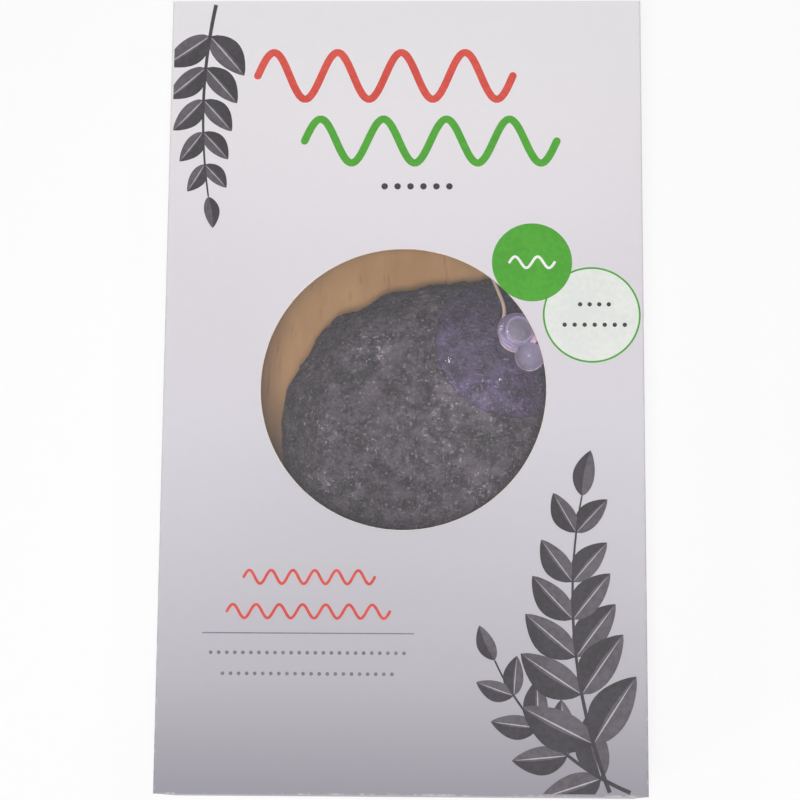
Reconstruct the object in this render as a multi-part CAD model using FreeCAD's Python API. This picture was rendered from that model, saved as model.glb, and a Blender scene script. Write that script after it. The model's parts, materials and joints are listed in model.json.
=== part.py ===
# Boxed face sponge: a windowed tuck-end carton holding a half-ball sponge, its hanging
# cord and a clear suction cup with a hook.
# The carton lies on its back. +Z points out of the window, +Y to the carton's top end.
# The origin is the centre of the back panel's outer face. Sizes are in millimetres.
import FreeCAD
import Part
import math
import os

V = FreeCAD.Vector

# Carton
carton_width = 108.0            # outside, along X
carton_height = 181.0           # outside, along Y
board = 0.5                     # thickness of the carton board
crease_gap = 0.05               # between a fold's round edge and the panel it turns in
flap_gap = 0.3                  # between flaps that slide past each other
lid_side_relief = 0.4           # a lid stops this far short of the carton's side
tuck_depth = 13.0
tuck_fold_relief = 0.8          # from a side panel's inner face, at the fold
tuck_side_relief = 2.5          # narrower by this much on each side at the tip
tuck_corner_radius = 6.0
tuck_lean = 19.0                # degrees that a tuck flap slopes in from its panel
dust_length = 35.0
dust_back_relief = 2.0          # from the back panel's inner face
dust_front_relief = 6.5         # from the front panel's inner face, clear of the tuck flap
dust_taper = 5.0                # how far the free end narrows on the tuck side
dust_corner_radius = 3.0
glue_flap_width = 12.0
glue_flap_end_relief = 5.0      # from the carton's ends
glue_flap_taper = 4.0
glue_layer = 0.06

# Window
window_diameter = 64.0
window_offset_y = -0.4
film_thickness = 0.15
film_margin = 9.0               # the film reaches this far past the window
film_corner_radius = 2.0
glue_band_inset = 2.0           # from the window's edge to the glue band
glue_band_width = 4.5

# Sponge
sponge_diameter = 74.0
sponge_thickness = 30.0
sponge_x = 7.0
sponge_y = -5.0
sponge_gap = 0.3                # over the back panel's inner face
crown_radius = 60.0             # the broad top of the dome
crown_reach = 24.0              # the broad top ends at this distance from the axis
edge_radius = 4.0               # between the rim and the flat back

# Suction cup and hook, in the cup's own frame: radius and height over the rim plane
cup_diameter = 35.0
cup_rim = 0.7                   # thickness of the skirt's lip
cup_hollow = 4.6                # depth of the hollow under the crown
cup_crown = 5.8                 # height of the crown's top face
cup_crown_radius = 4.6
skirt_bend_radius = 12.6        # a point that the skirt's outer curve goes through
skirt_bend_height = 3.2
neck_radius = 2.6
cord_room = 2.2                 # bare neck that the cord goes round
collar_height = 1.8
collar_wall = 2.2
collar_clearance = 0.15
head_overhang = 0.65            # the head is this much wider than the neck
head_height = 1.9
head_crown = 1.0                # height of the head's domed top
arm_radius = 0.9
arm_reach = 7.2                 # from the neck's axis to the middle of the tip
tip_radius = 3.4
tip_rise = 2.1                  # the tip's middle over the collar's middle
arm_heading = -75.0             # degrees from +X, seen from the front
cup_x = 23.8                    # middle of the rim plane
cup_y = 12.1
cup_tilt = 20.0                 # degrees, leaning away from the sponge's axis
cup_rest_gap = 0.35             # between the rim and the dome where they are nearest
film_clearance = 0.6            # between the hook's highest point and the film

# Cord: out of the sponge's rim, in a slack bend on the back panel, up over the cup's skirt,
# round the neck and down to a knot on its own first run, which closes the loop.
# The points are the corners of its straight runs.
cord_diameter = 0.85
cord_bend_share = 0.45          # of the shorter run, used by each arc
cord_points = [
    (29.1, 19.5, 5.9),
    (34.4, 25.4, 5.0),
    (37.0, 33.0, 1.8),
    (38.0, 42.0, 1.2),
    (33.5, 50.0, 1.3),
    (25.0, 51.5, 1.2),
    (18.6, 46.0, 1.3),
    (17.6, 38.5, 3.5),
    (18.6, 33.8, 13.5),
    (19.9, 30.1, 23.8),
    (21.6, 25.2, 27.6),
    (23.3, 20.0, 29.9),
    (21.7, 15.1, 32.2),
    (22.2, 11.7, 32.9),
    (24.8, 9.9, 32.7),
    (28.0, 10.5, 31.7),
    (29.6, 13.3, 30.7),
    (31.1, 17.6, 28.7),
    (33.7, 23.0, 24.2),
    (36.0, 27.2, 17.4),
    (35.7, 27.6, 9.5),
    (35.9, 29.6, 4.8),
]
knot_at = (35.8, 29.35, 4.1)
knot_wraps = 3
knot_pitch = 0.85               # cord diameters from one wrap to the next
knot_radius = 1.25

# Places worked out from the sizes above
half_width = carton_width / 2
half_height = carton_height / 2
side_in = half_width - board                 # inner face of a side panel
end_in = half_height - board                 # inner face of a closed lid
sponge_radius = sponge_diameter / 2
sponge_base = board + sponge_gap
sponge_top = sponge_base + sponge_thickness
cup_radius = cup_diameter / 2
head_radius = neck_radius + head_overhang
collar_base = cup_crown + cord_room
collar_top = collar_base + collar_height
head_base = collar_top + collar_clearance
head_top = head_base + head_height


def arc(first, middle, last):
    return Part.Arc(first, middle, last).toShape()


def line(first, last):
    return Part.LineSegment(first, last).toShape()


def prism(edges, travel):
    return Part.Face(Part.Wire(edges)).extrude(travel)


def turned(edges, place=V(0, 0, 0), axis=V(0, 0, 1)):
    return Part.Face(Part.Wire(edges)).revolve(place, axis, 360)


def rounded_outline(corners, radii):
    """Edges of a closed polygon whose corners are rounded by tangent arcs."""
    edges = []
    ends = []
    count = len(corners)
    for i in range(count):
        before, here, after = corners[i - 1], corners[i], corners[(i + 1) % count]
        to_before = (before - here).normalize()
        to_after = (after - here).normalize()
        if radii[i] <= 0:
            ends.append((here, None, here))
            continue
        half_angle = to_before.getAngle(to_after) / 2
        reach = radii[i] / math.tan(half_angle)
        inward = (to_before + to_after).normalize()
        middle = here + inward * (radii[i] / math.sin(half_angle) - radii[i])
        ends.append((here + to_before * reach, middle, here + to_after * reach))
    for i in range(count):
        first, middle, last = ends[i]
        if middle is not None:
            edges.append(arc(first, middle, last))
        edges.append(line(last, ends[(i + 1) % count][0]))
    return edges


def quarter_round(centre, first, second, radius, travel):
    """A quarter disc between two perpendicular unit directions, drawn out along travel."""
    start = centre + first * radius
    stop = centre + second * radius
    middle = centre + (first + second).normalize() * radius
    return prism([line(centre, start), arc(start, middle, stop), line(stop, centre)], travel)


# Sponge outline, needed first: the carton's depth follows what it holds
def dome_profile():
    """Points of the dome in radius and height: top, shoulder start, rim and base edge."""
    slope = math.asin(crown_reach / crown_radius)
    shoulder_radius = (sponge_radius - crown_reach) / (1 - math.sin(slope))
    shoulder_z = sponge_top - crown_radius * (1 - math.cos(slope))
    shoulder_centre = (sponge_radius - shoulder_radius, shoulder_z - shoulder_radius * math.cos(slope))
    return slope, shoulder_radius, shoulder_z, shoulder_centre


def dome_height(radius):
    """Height of the dome's surface at a distance from the sponge's axis."""
    slope, shoulder_radius, shoulder_z, centre = dome_profile()
    if radius >= sponge_radius:
        return sponge_base
    if radius <= crown_reach:
        return sponge_top - crown_radius + math.sqrt(crown_radius ** 2 - radius ** 2)
    return centre[1] + math.sqrt(shoulder_radius ** 2 - (radius - centre[0]) ** 2)


# The cup leans along the line from the sponge's axis to the cup
lean_heading = math.atan2(cup_y - sponge_y, cup_x - sponge_x)
cup_turn = FreeCAD.Rotation(V(-math.sin(lean_heading), math.cos(lean_heading), 0), cup_tilt)
cup_axis = cup_turn.multVec(V(0, 0, 1))


def cup_seat():
    """Lowest middle of the rim plane that keeps the whole rim over the dome."""
    steps = 72
    least = sponge_base
    for i in range(steps):
        angle = 2 * math.pi * i / steps
        for radius in (cup_radius, cup_radius - 2 * cup_rim):
            offset = cup_turn.multVec(V(radius * math.cos(angle), radius * math.sin(angle), 0))
            away = math.hypot(cup_x + offset.x - sponge_x, cup_y + offset.y - sponge_y)
            least = max(least, dome_height(away) - offset.z)
    return least + cup_rest_gap


cup_rim_z = cup_seat()
cup_place = FreeCAD.Placement(V(cup_x, cup_y, cup_rim_z), cup_turn)
tip_height = (collar_base + collar_top) / 2 + tip_rise
lean = math.radians(cup_tilt)
tip_highest = tip_height * math.cos(lean) + arm_reach * math.sin(lean) + tip_radius
head_highest = head_top * math.cos(lean) + head_radius * math.sin(lean)
hanger_top = cup_rim_z + max(tip_highest, head_highest)

# Depth of the carton
film_under = hanger_top + film_clearance
film_over = film_under + film_thickness
front_in = film_over + glue_layer            # inner face of the front panel
carton_depth = front_in + board
tuck_axis_z = front_in - flap_gap - board
dust_axis_y = end_in - flap_gap - board


def front_panel():
    panel = Part.makeBox(2 * (side_in - crease_gap), carton_height, board,
                         V(crease_gap - side_in, -half_height, front_in))
    window = Part.makeCylinder(window_diameter / 2, board, V(0, window_offset_y, front_in))
    return panel.cut(window)


def back_panel():
    panel = Part.makeBox(2 * (side_in - crease_gap), 2 * (end_in - crease_gap), board,
                         V(crease_gap - side_in, crease_gap - end_in, 0))
    for end in (-end_in, end_in):
        room = Part.makeCylinder(board + crease_gap, carton_width, V(-half_width, end, board), V(1, 0, 0))
        panel = panel.cut(room)
    return panel


def side_panel(side):
    length = 2 * (dust_axis_y - crease_gap)
    low_x = side_in if side > 0 else -half_width
    wall = Part.makeBox(board, length, front_in - board, V(low_x, -length / 2, board))
    outward = V(side, 0, 0)
    for height, up in ((board, -1), (front_in, 1)):
        corner = V(side * side_in, -length / 2, height)
        wall = wall.fuse(quarter_round(corner, outward, V(0, 0, up), board, V(0, length, 0)))
    return wall.removeSplitter()


def glue_flap():
    outer = -(side_in - board - crease_gap)
    inner = outer + glue_flap_width
    reach = half_height - glue_flap_end_relief
    base = board + glue_layer
    corners = [V(outer, -reach, base), V(inner, glue_flap_taper - reach, base),
               V(inner, reach - glue_flap_taper, base), V(outer, reach, base)]
    return prism(rounded_outline(corners, [0, 0, 0, 0]), V(0, 0, board))


def seam_glue():
    outer = -(side_in - board - crease_gap) + glue_flap_taper
    reach = half_height - glue_flap_end_relief - 2 * glue_flap_taper
    return Part.makeBox(glue_flap_width - 2 * glue_flap_taper, 2 * reach, glue_layer, V(outer, -reach, board))


def window_film():
    reach = window_diameter / 2 + film_margin
    corners = [V(-reach, window_offset_y - reach, film_under), V(reach, window_offset_y - reach, film_under),
               V(reach, window_offset_y + reach, film_under), V(-reach, window_offset_y + reach, film_under)]
    return prism(rounded_outline(corners, [film_corner_radius] * 4), V(0, 0, film_thickness))


def window_glue():
    inner = window_diameter / 2 + glue_band_inset
    place = V(0, window_offset_y, film_over)
    return Part.makeCylinder(inner + glue_band_width, glue_layer, place).cut(
        Part.makeCylinder(inner, glue_layer, place))


def lid():
    """The top lid: a panel with a round lower fold and a hollow edge for the tuck's fold."""
    half = half_width - lid_side_relief
    outer = end_in + board
    room = board + crease_gap
    outer_stop = tuck_axis_z - math.sqrt(room ** 2 - board ** 2)
    slant = board / math.sqrt(2)
    middle_angle = (math.asin(board / room) - math.pi / 2 - math.pi / 2) / 2
    room_middle = V(-half, end_in + room * math.cos(middle_angle), tuck_axis_z + room * math.sin(middle_angle))
    profile = [
        arc(V(-half, end_in, 0), V(-half, end_in + slant, board - slant), V(-half, outer, board)),
        line(V(-half, outer, board), V(-half, outer, outer_stop)),
        arc(V(-half, outer, outer_stop), room_middle, V(-half, end_in, tuck_axis_z - room)),
        line(V(-half, end_in, tuck_axis_z - room), V(-half, end_in, 0)),
    ]
    return prism(profile, V(2 * half, 0, 0))


def tuck():
    """The top tuck flap, drawn flat and then leaned in from the lid's front fold."""
    half = side_in - tuck_fold_relief
    tip_half = half - tuck_side_relief
    corners = [V(-half, 0, 0), V(-tip_half, -tuck_depth, 0), V(tip_half, -tuck_depth, 0), V(half, 0, 0)]
    flap = prism(rounded_outline(corners, [0, tuck_corner_radius, tuck_corner_radius, 0]), V(0, 0, board))
    fold = quarter_round(V(-half, 0, 0), V(0, 1, 0), V(0, 0, 1), board, V(2 * half, 0, 0))
    flap = flap.fuse(fold).removeSplitter()
    flap.Placement = FreeCAD.Placement(V(0, end_in, tuck_axis_z), FreeCAD.Rotation(V(1, 0, 0), tuck_lean))
    return flap


def dust_flap():
    """The top right dust flap, folded in under the lid."""
    low = board + dust_back_relief
    high = front_in - dust_front_relief
    free = side_in - dust_length
    corners = [V(side_in, dust_axis_y, low), V(side_in, dust_axis_y, high),
               V(free, dust_axis_y, high - dust_taper), V(free, dust_axis_y, low)]
    rounding = [0, 0, dust_corner_radius, dust_corner_radius]
    flap = prism(rounded_outline(corners, rounding), V(0, board, 0))
    fold = quarter_round(V(side_in, dust_axis_y, low), V(1, 0, 0), V(0, 1, 0), board, V(0, 0, high - low))
    return flap.fuse(fold).removeSplitter()


def mirrored(shape, normal):
    return shape.mirror(V(0, 0, 0), normal)


def sponge():
    slope, shoulder_radius, shoulder_z, centre = dome_profile()

    def at(radius, height):
        return V(radius, 0, height)

    def on_shoulder(angle):
        return at(centre[0] + shoulder_radius * math.sin(angle), centre[1] + shoulder_radius * math.cos(angle))

    crown_middle = at(crown_radius * math.sin(slope / 2), sponge_top - crown_radius * (1 - math.cos(slope / 2)))
    rim = on_shoulder(math.pi / 2)
    edge_start = at(sponge_radius, sponge_base + edge_radius)
    edge_slant = edge_radius / math.sqrt(2)
    edge_middle = at(sponge_radius - edge_radius + edge_slant, sponge_base + edge_radius - edge_slant)
    edge_stop = at(sponge_radius - edge_radius, sponge_base)
    profile = [
        line(at(0, sponge_base), at(0, sponge_top)),
        arc(at(0, sponge_top), crown_middle, at(crown_reach, shoulder_z)),
        arc(at(crown_reach, shoulder_z), on_shoulder((slope + math.pi / 2) / 2), rim),
        line(rim, edge_start),
        arc(edge_start, edge_middle, edge_stop),
        line(edge_stop, at(0, sponge_base)),
    ]
    body = turned(profile)
    body.translate(V(sponge_x, sponge_y, 0))
    return body


def suction_cup():
    """The cup, its neck and mushroom head as one moulding, in its own frame and then placed."""
    def at(radius, height):
        return V(radius, 0, height)

    def cap(radius, base, rise):
        """An arc from a rim to the axis, which it meets squarely."""
        ball = (radius ** 2 + rise ** 2) / (2 * rise)
        half = math.asin(radius / ball) / 2
        return arc(at(radius, base), at(ball * math.sin(half), base + rise - ball * (1 - math.cos(half))),
                   at(0, base + rise))

    skirt_outer = arc(at(cup_radius, 0), at(skirt_bend_radius, skirt_bend_height), at(cup_crown_radius, cup_crown))
    profile = [
        skirt_outer,
        line(at(cup_crown_radius, cup_crown), at(neck_radius, cup_crown)),
        line(at(neck_radius, cup_crown), at(neck_radius, head_base)),
        line(at(neck_radius, head_base), at(head_radius, head_base)),
        line(at(head_radius, head_base), at(head_radius, head_top - head_crown)),
        cap(head_radius, head_top - head_crown, head_crown),
        line(at(0, head_top), at(0, cup_hollow)),
        cap(cup_radius - cup_rim, 0, cup_hollow),
        line(at(cup_radius - cup_rim, 0), at(cup_radius, 0)),
    ]
    cup = turned(profile)
    cup.Placement = cup_place
    return cup


def suction_hook():
    """A collar that turns on the neck, with an arm and a ball tip."""
    bore = neck_radius + collar_clearance
    middle = (collar_base + collar_top) / 2
    collar = Part.makeCylinder(bore + collar_wall, collar_height, V(0, 0, collar_base))
    arm_start = V(bore + collar_wall / 2, 0, middle)
    tip = V(arm_reach, 0, tip_height)
    arm = Part.makeCone(arm_radius, tip_radius * 0.9, (tip - arm_start).Length, arm_start, tip - arm_start)
    hook = collar.fuse([arm, Part.makeSphere(tip_radius, tip)])
    head_room = Part.makeCylinder(head_radius + collar_clearance, head_top, V(0, 0, collar_top))
    hook = hook.cut([Part.makeCylinder(bore, head_top, V(0, 0, cup_crown)), head_room])
    hook = hook.removeSplitter()
    heading = FreeCAD.Rotation(V(0, 0, 1), arm_heading)
    hook.Placement = cup_place.multiply(FreeCAD.Placement(V(0, 0, 0), heading))
    return hook


def cord_path():
    """Straight runs joined by tangent arcs, each as large as its two runs allow."""
    points = [V(*point) for point in cord_points]
    edges = []
    radii = []
    start = points[0]
    for before, here, after in zip(points, points[1:], points[2:]):
        arriving = here - before
        leaving = after - here
        reach = cord_bend_share * min(arriving.Length, leaving.Length)
        half_turn = arriving.getAngle(leaving) / 2
        radius = reach / math.tan(half_turn)
        to_before = V(arriving).normalize() * -1
        to_after = V(leaving).normalize()
        inward = (to_before + to_after).normalize()
        middle = here + inward * (radius / math.cos(half_turn) - radius)
        edges.append(line(start, here + to_before * reach))
        edges.append(arc(here + to_before * reach, middle, here + to_after * reach))
        start = here + to_after * reach
        radii.append(radius)
    edges.append(line(start, points[-1]))
    return Part.Wire(edges), radii


def hanging_cord():
    path, radii = cord_path()
    first = path.Edges[0]
    heading = first.tangentAt(first.FirstParameter)
    section = Part.Wire(Part.makeCircle(cord_diameter / 2, V(*cord_points[0]), heading))
    cord = path.makePipeShell([section], True, False)
    expected = math.pi * cord_diameter ** 2 / 4 * path.Length
    print("cord length", round(path.Length, 1), "volume ratio", round(cord.Volume / expected, 4))
    print("cord radii", [round(radius, 1) for radius in radii])
    return cord


def cord_knot():
    """Round wraps that hold the cord's end to its own standing part."""
    heading = (V(*cord_points[2]) - V(*cord_points[1])).normalize()
    wrap = cord_diameter / 2
    pitch = cord_diameter * knot_pitch
    length = pitch * (knot_wraps - 1)
    foot = V(*knot_at) - heading * (length / 2)
    core = Part.makeCylinder(knot_radius - wrap, length, foot, heading)
    wraps = [Part.makeTorus(knot_radius - wrap, wrap, foot + heading * (pitch * i), heading)
             for i in range(knot_wraps)]
    return core.fuse(wraps).removeSplitter()


os.makedirs("parts", exist_ok=True)
along_x, along_y = V(1, 0, 0), V(0, 1, 0)
top_lid, top_tuck, top_right_dust = lid(), tuck(), dust_flap()
top_left_dust = mirrored(top_right_dust, along_x)
nodes = {
    "front_panel": front_panel(),
    "back_panel": back_panel(),
    "left_side_panel": side_panel(-1),
    "right_side_panel": side_panel(1),
    "glue_flap": glue_flap(),
    "seam_glue": seam_glue(),
    "window_film": window_film(),
    "window_glue": window_glue(),
    "top_lid": top_lid,
    "top_tuck_flap": top_tuck,
    "top_right_dust_flap": top_right_dust,
    "top_left_dust_flap": top_left_dust,
    "bottom_lid": mirrored(top_lid, along_y),
    "bottom_tuck_flap": mirrored(top_tuck, along_y),
    "bottom_right_dust_flap": mirrored(top_right_dust, along_y),
    "bottom_left_dust_flap": mirrored(top_left_dust, along_y),
    "sponge": sponge(),
    "suction_cup": suction_cup(),
    "suction_hook": suction_hook(),
    "hanging_cord": hanging_cord(),
    "cord_knot": cord_knot(),
}
for name, shape in nodes.items():
    shape.exportStep("parts/" + name + ".step")
    print(name, "valid", shape.isValid(), "solids", len(shape.Solids), "volume", round(shape.Volume, 2))
print("carton depth", round(carton_depth, 3), "cup rim z", round(cup_rim_z, 3), "film under", round(film_under, 3))
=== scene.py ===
import json
import math

import bmesh
import bpy
from mathutils import Matrix, Vector, noise


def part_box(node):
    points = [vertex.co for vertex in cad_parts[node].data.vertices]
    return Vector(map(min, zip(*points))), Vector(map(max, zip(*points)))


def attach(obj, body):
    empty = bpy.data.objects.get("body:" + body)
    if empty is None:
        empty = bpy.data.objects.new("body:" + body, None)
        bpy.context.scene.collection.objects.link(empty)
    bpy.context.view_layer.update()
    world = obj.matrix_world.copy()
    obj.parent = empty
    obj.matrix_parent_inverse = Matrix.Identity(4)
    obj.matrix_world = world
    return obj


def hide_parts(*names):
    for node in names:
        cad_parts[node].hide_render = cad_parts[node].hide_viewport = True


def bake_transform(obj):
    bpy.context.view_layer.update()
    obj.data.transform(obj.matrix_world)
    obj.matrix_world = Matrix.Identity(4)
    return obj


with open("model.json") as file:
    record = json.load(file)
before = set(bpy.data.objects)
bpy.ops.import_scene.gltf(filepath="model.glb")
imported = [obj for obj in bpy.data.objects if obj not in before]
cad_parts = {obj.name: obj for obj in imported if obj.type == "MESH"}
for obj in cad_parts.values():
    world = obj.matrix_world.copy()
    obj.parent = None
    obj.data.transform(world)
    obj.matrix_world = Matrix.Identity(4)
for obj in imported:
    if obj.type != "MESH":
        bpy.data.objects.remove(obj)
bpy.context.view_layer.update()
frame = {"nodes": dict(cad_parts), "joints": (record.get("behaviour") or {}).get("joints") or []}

scene = bpy.context.scene
scene.view_settings.view_transform = "Standard"
mm = 0.001
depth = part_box("front_panel")[1][2]     # from the back's outside to the front's
print("frame loaded with", len(frame["nodes"]), "nodes")


# Camera, set from the four corners of the carton's front in the photo
viewPoint = {
    "place": (0.012447, -0.095219, 0.559147),
    "pitch": 10.106,        # degrees, leaning back from straight down
    "yaw": 1.437,
    "roll": 0.192,
    "lens": 105.43,         # millimetres
    "sensor": 36.0,
}


def setCamera(spec):
    data = bpy.data.cameras.new("photoCamera")
    data.lens = spec["lens"]
    data.sensor_width = spec["sensor"]
    data.clip_start = 10 * mm
    camera = bpy.data.objects.new("photoCamera", data)
    turn = Matrix.Identity(4)
    for axis, name in (("X", "pitch"), ("Y", "yaw"), ("Z", "roll")):
        turn = turn @ Matrix.Rotation(math.radians(spec[name]), 4, axis)
    camera.matrix_world = Matrix.Translation(spec["place"]) @ turn
    scene.collection.objects.link(camera)
    scene.camera = camera


setCamera(viewPoint)
print("camera set")


# A socket of a shader tree. Arithmetic on these adds Math nodes, and node() adds any other node.
class Wire:
    def __init__(self, tree, socket=None):
        self.tree = tree
        self.socket = socket

    def node(self, kind, setup=None, inputs=None, out=0):
        made = self.tree.nodes.new("ShaderNode" + kind)
        for key, value in (setup or {}).items():
            if key == "stops":
                ends = made.color_ramp.elements
                ends[0].position, ends[0].color = value[0]
                ends[-1].position, ends[-1].color = value[-1]
                for place, colour in value[1:-1]:
                    ends.new(place).color = colour
            else:
                setattr(made, key, value)
        for key, value in (inputs or {}).items():
            if isinstance(value, Wire):
                self.tree.links.new(value.socket, made.inputs[key])
            else:
                made.inputs[key].default_value = value
        return Wire(self.tree, made.outputs[out])

    def output(self, out):
        return Wire(self.tree, self.socket.node.outputs[out])

    def maths(self, operation, other=0.0, swapped=False):
        first, second = (other, self) if swapped else (self, other)
        return self.node("Math", {"operation": operation}, {0: first, 1: second})

    __add__ = __radd__ = lambda self, other: self.maths("ADD", other)
    __sub__ = lambda self, other: self.maths("SUBTRACT", other)
    __rsub__ = lambda self, other: self.maths("SUBTRACT", other, True)
    __mul__ = __rmul__ = lambda self, other: self.maths("MULTIPLY", other)
    __truediv__ = lambda self, other: self.maths("DIVIDE", other)
    __pow__ = lambda self, other: self.maths("POWER", other)
    __abs__ = lambda self: self.maths("ABSOLUTE")


def tone(red, green, blue):     # a screen colour, 0 to 255, as the linear one that a shader takes
    def linear(level):
        share = level / 255
        return share / 12.92 if share <= 0.04045 else ((share + 0.055) / 1.055) ** 2.4
    return (linear(red), linear(green), linear(blue), 1.0)


def mixColours(factor, first, second):
    return factor.node("Mix", {"data_type": "RGBA"}, {0: factor, 6: first, 7: second}, out=2)


def smoothStep(value, low, high):
    return value.node("MapRange", {"interpolation_type": "SMOOTHSTEP"},
                      {"Value": value, "From Min": low, "From Max": high})


def grain(place, scale, detail=3.0, roughness=0.55, stretch=None):
    if stretch:
        place = place.node("Mapping", None, {"Vector": place, "Scale": stretch})
    return place.node("TexNoise", None,
                      {"Vector": place, "Scale": scale, "Detail": detail, "Roughness": roughness})


def bump(height, strength, rise):
    return height.node("Bump", None, {"Strength": strength, "Distance": rise, "Height": height})


def startFinish(name):      # gives the material and its Object coordinates
    material = bpy.data.materials.new(name)
    material.use_nodes = True
    return material, Wire(material.node_tree).node("TexCoord", out=3)


def surfaceOf(material):
    return Wire(material.node_tree, material.node_tree.nodes["Principled BSDF"].outputs[0])


def dress(material, values):
    sockets = material.node_tree.nodes["Principled BSDF"].inputs
    for name, value in values.items():
        if isinstance(value, Wire):
            value.tree.links.new(value.socket, sockets[name])
        else:
            sockets[name].default_value = value
    return material


def mixSurface(share, first, second, output="Material Output"):
    both = share.node("MixShader", None, {0: share, 1: first, 2: second})
    both.tree.links.new(both.socket, both.tree.nodes[output].inputs["Surface"])


def letLampsThrough(material, tint):    # clear plastic passes lamp light instead of shading what it covers
    surface = surfaceOf(material)
    clear = surface.node("BsdfTransparent", None, {"Color": tint})
    mixSurface(surface.node("LightPath", out=1), surface, clear)


# Finishes of the carton
boardLook = {
    "print": [(0.0, tone(150, 147, 156)), (0.05, tone(161, 158, 166)), (0.14, tone(182, 178, 186)),
              (0.30, tone(200, 196, 203)), (0.45, tone(212, 208, 215)), (0.65, tone(218, 213, 219)),
              (0.84, tone(226, 222, 226)), (1.0, tone(229, 226, 229))],
    "halfHeight": 90.5 * mm,
    "halfWidth": 54.0 * mm,
    "depth": depth,
    "fibre": 420,           # grains to the metre, as for the other grains below
    "cloud": 28,
    "roughness": 0.40,
    "worn": tone(238, 235, 232),
    "wornGrain": 260,
    "wornShare": 0.4,
    "wornSide": (0.55 * mm, 0.15 * mm),     # in from a long edge, where the rubbing starts and is full
    "wornEnd": (0.5 * mm, 0.1 * mm),
    "kraft": [(0.25, tone(190, 143, 93)), (0.5, tone(201, 154, 103)), (0.75, tone(212, 165, 114))],
    "pulp": 170,
    "strands": 900,
    "fleck": tone(150, 108, 70),
    "fleckShare": 0.4,
    "core": [(0.3, tone(222, 208, 198)), (0.7, tone(243, 234, 229))],
    "layers": 1500,
}
varnish = {"Coat Weight": 0.12, "Coat Roughness": 0.22}


def nearEdge(distance, edge, band):
    return smoothStep(distance, edge - band[0], edge - band[1])


def printedBoard(look):
    material, place = startFinish("printedBoard")
    axes = place.node("SeparateXYZ", None, {0: place})
    across, along, up = axes, axes.output(1), axes.output(2)
    halfHeight, halfDepth = look["halfHeight"], look["depth"] / 2
    height = (along + halfHeight) / (2 * halfHeight)
    ink = height.node("ValToRGB", {"stops": look["print"]}, {0: height})
    fibre = grain(place, look["fibre"], 4, 0.6)
    cloud = grain(place, look["cloud"], 2, 0.5)
    mottle = (fibre - 0.5) * 0.035 + (cloud - 0.5) * 0.02 + 1.0
    shade = place.node("CombineXYZ", None, {0: mottle, 1: mottle, 2: mottle})
    ink = ink.node("VectorMath", {"operation": "MULTIPLY"}, {0: ink, 1: shade})
    # the coating is rubbed pale where the board turns a corner
    sideways = nearEdge(abs(across), look["halfWidth"], look["wornSide"])
    upward = nearEdge(abs(up - halfDepth), halfDepth, look["wornSide"])
    endward = nearEdge(abs(along), halfHeight, look["wornEnd"])
    corner = (sideways * upward).maths("MAXIMUM", endward * upward)
    scuff = corner * smoothStep(grain(place, look["wornGrain"], 5, 0.7), 0.47, 0.62) * look["wornShare"]
    return dress(material, {
        "Base Color": mixColours(scuff, ink, look["worn"]),
        "Roughness": (fibre - 0.5) * 0.12 + scuff * 0.3 + look["roughness"],
        "Normal": bump(fibre + cloud * 1.5, 0.10, 0.12 * mm),
        "Specular IOR Level": 0.4,
        **varnish,
    })


def kraftInside(look):
    material, place = startFinish("kraftInside")
    pulp = grain(place, look["pulp"], 5, 0.65, (1.0, 0.35, 1.0))
    strands = grain(place, look["strands"], 2, 0.5, (1.0, 0.12, 1.0))
    colour = pulp.node("ValToRGB", {"stops": look["kraft"]}, {0: pulp})
    return dress(material, {
        "Base Color": mixColours(smoothStep(strands, 0.62, 0.72) * look["fleckShare"], colour, look["fleck"]),
        "Roughness": pulp * 0.15 + 0.72,
        "Normal": bump(strands + pulp, 0.22, 0.1 * mm),
        "Specular IOR Level": 0.25,
    })


def cutEdge(look):
    material, place = startFinish("cutEdge")
    layers = grain(place, look["layers"], 3, 0.6)
    return dress(material, {
        "Base Color": layers.node("ValToRGB", {"stops": look["core"]}, {0: layers}),
        "Roughness": layers * 0.1 + 0.75,
        "Normal": bump(layers, 0.3, 0.08 * mm),
        "Specular IOR Level": 0.2,
    })


boardFinishes = [printedBoard(boardLook), kraftInside(boardLook), cutEdge(boardLook)]


# Inks of the printed ornaments
inkLook = {
    "red": (tone(216, 84, 72), tone(204, 72, 62)),
    "green": (tone(78, 162, 48), tone(70, 153, 42)),
    "white": (tone(240, 242, 236), tone(232, 235, 229)),
    "pale": (tone(228, 231, 226), tone(221, 224, 220)),
    "black": (tone(44, 42, 46), tone(58, 55, 60)),
    "grey": (tone(110, 107, 114), tone(124, 121, 128)),
    "leafDark": (tone(52, 48, 53), tone(64, 60, 66)),
    "leafMid": (tone(82, 77, 84), tone(98, 93, 100)),
    "leafPale": (tone(170, 166, 172), tone(182, 178, 184)),
}


def inkFinish(name):
    material, place = startFinish("ink." + name)
    dots = grain(place, 900, 2, 0.5)
    wash = grain(place, 90, 3, 0.55)
    first, second = inkLook[name]
    return dress(material, {
        "Base Color": mixColours(smoothStep(dots * 0.5 + wash * 0.5, 0.38, 0.62), first, second),
        "Roughness": dots * 0.12 + 0.32,
        "Normal": bump(dots, 0.08, 0.1 * mm),
        **varnish,
    })


inks = {name: inkFinish(name) for name in inkLook}
print("board and ink finishes made")


# Clear film, glue, plastics, sponge and cotton
filmLook = {
    "tint": tone(246, 244, 250),
    "paintedReflection": 0.040,          # share of each face that scatters white: painted reflection of the bright room
    "streak": 0.012,
    "gloss": 0.002,         # mirror share seen straight on
    "grazing": 0.16,        # and at a flat angle
}


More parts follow.
